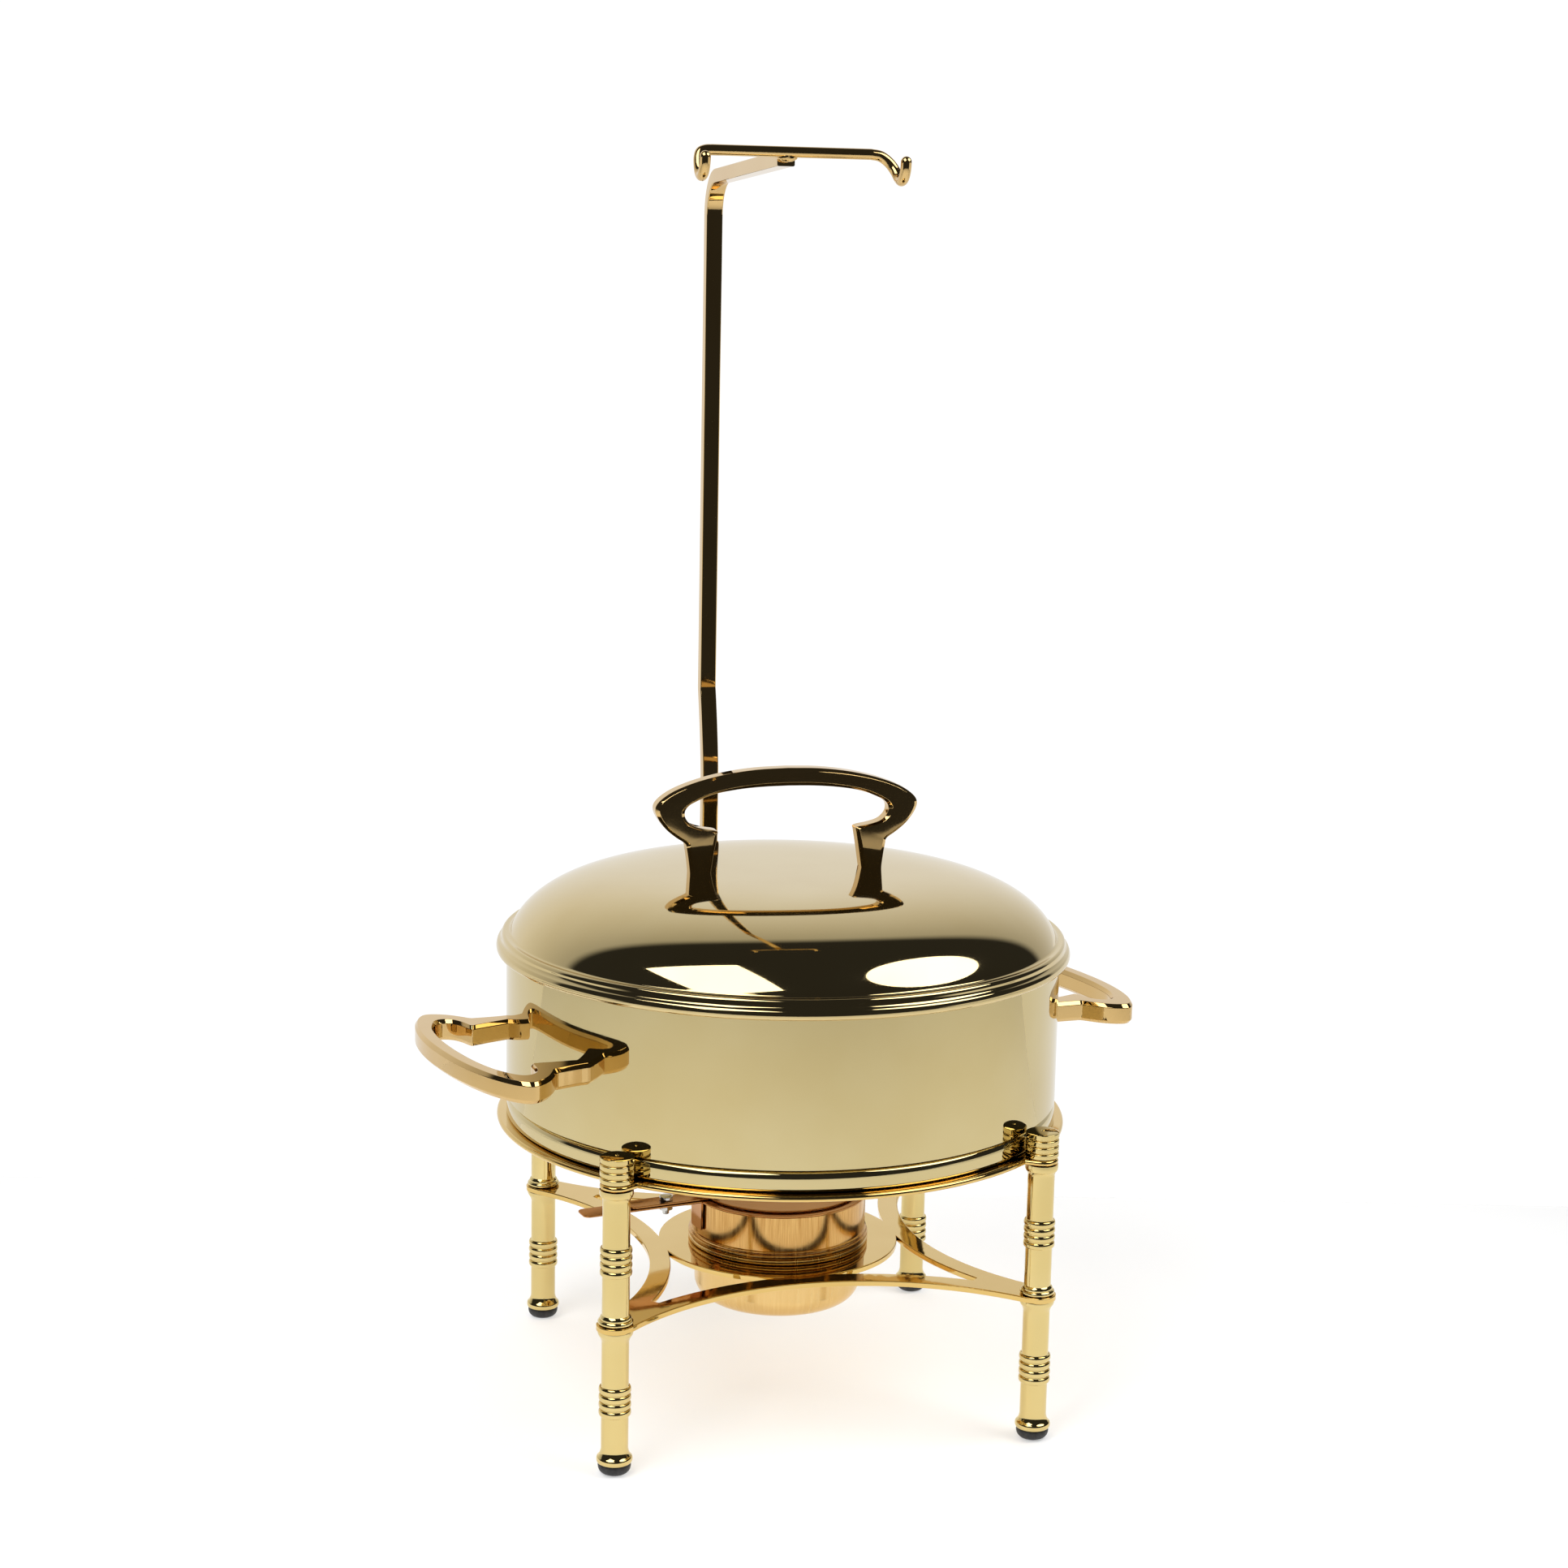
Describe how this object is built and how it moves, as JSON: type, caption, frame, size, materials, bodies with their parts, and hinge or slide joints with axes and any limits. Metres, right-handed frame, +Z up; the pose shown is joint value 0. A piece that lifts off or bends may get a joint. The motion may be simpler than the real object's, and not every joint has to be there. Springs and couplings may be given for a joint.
{
  "type": "chafing dish food warmer",
  "caption": "Round domed food warmer on a turned stand, with a water pan, food pan, lid holder post with hooks, and a spirit burner with a swinging damper.",
  "frame": {"origin": "on the ground under the middle of the whole warmer's bounding box; the pan's axis stands 12.5 mm nearer the guest", "axes": "+Z up, -Y towards the guest, the lid holder post at +Y, its arm and hooks over the pan"},
  "size_m": [0.4548, 0.3772, 0.7598],
  "materials": {
    "polished_gold": "mirror polished gold colour plating",
    "polished_steel": "plain bright stainless steel",
    "copper_gold": "brushed copper gold",
    "black_rubber": "matt black"
  },
  "bodies": {
    "stand": {"lower_frame_plate": "polished_gold", "upper_ring": "polished_gold", "lid_holder_post": "polished_gold", "hanger_rod": "polished_gold", "post_bolt_upper": "polished_steel", "post_bolt_lower": "polished_steel", "post_nut_upper": "polished_steel", "post_nut_lower": "polished_steel", "front_left_foot": "black_rubber", "front_left_lower_leg": "polished_gold", "front_left_leg_stud": "polished_steel", "front_left_upper_leg": "polished_gold", "front_left_finial": "polished_gold", "front_right_foot": "black_rubber", "front_right_lower_leg": "polished_gold", "front_right_leg_stud": "polished_steel", "front_right_upper_leg": "polished_gold", "front_right_finial": "polished_gold", "rear_right_foot": "black_rubber", "rear_right_lower_leg": "polished_gold", "rear_right_leg_stud": "polished_steel", "rear_right_upper_leg": "polished_gold", "rear_right_finial": "polished_gold", "rear_left_foot": "black_rubber", "rear_left_lower_leg": "polished_gold", "rear_left_leg_stud": "polished_steel", "rear_left_upper_leg": "polished_gold", "rear_left_finial": "polished_gold"},
    "water_pan_body": {"water_pan": "polished_gold", "left_handle": "polished_gold", "right_handle": "polished_gold", "left_handle_front_screw": "polished_steel", "left_handle_rear_screw": "polished_steel", "right_handle_front_screw": "polished_steel", "right_handle_rear_screw": "polished_steel"},
    "food_pan_body": {"food_pan": "polished_steel"},
    "lid": {"lid_dome": "polished_gold", "lid_handle": "polished_gold", "lid_handle_left_screw": "polished_steel", "lid_handle_right_screw": "polished_steel"},
    "burner": {"burner_cup": "copper_gold", "burner_sleeve": "copper_gold", "fuel_tin": "polished_steel", "burner_handle": "copper_gold", "damper_bolt": "polished_steel", "damper_nut": "polished_steel"},
    "damper": {"damper_disc": "copper_gold"}
  },
  "joints": [
    {"name": "water_pan_lift", "type": "slide", "parent": "stand", "child": "water_pan_body", "axis": [0, 0, 1], "range_m": [0, 0.03]},
    {"name": "food_pan_lift", "type": "slide", "parent": "water_pan_body", "child": "food_pan_body", "axis": [0, 0, 1], "range_m": [0, 0.07]},
    {"name": "lid_lift", "type": "slide", "parent": "food_pan_body", "child": "lid", "axis": [0, 0, 1], "range_m": [0, 0.19]},
    {"name": "burner_lift", "type": "slide", "parent": "stand", "child": "burner", "axis": [0, 0, 1], "range_m": [0, 0.04]},
    {"name": "damper_swing", "type": "hinge", "parent": "burner", "child": "damper", "pos_m": [-0.07509, -0.0271, 0.1237], "axis": [0, 0, 1], "range_deg": [0, 100]}
  ]
}
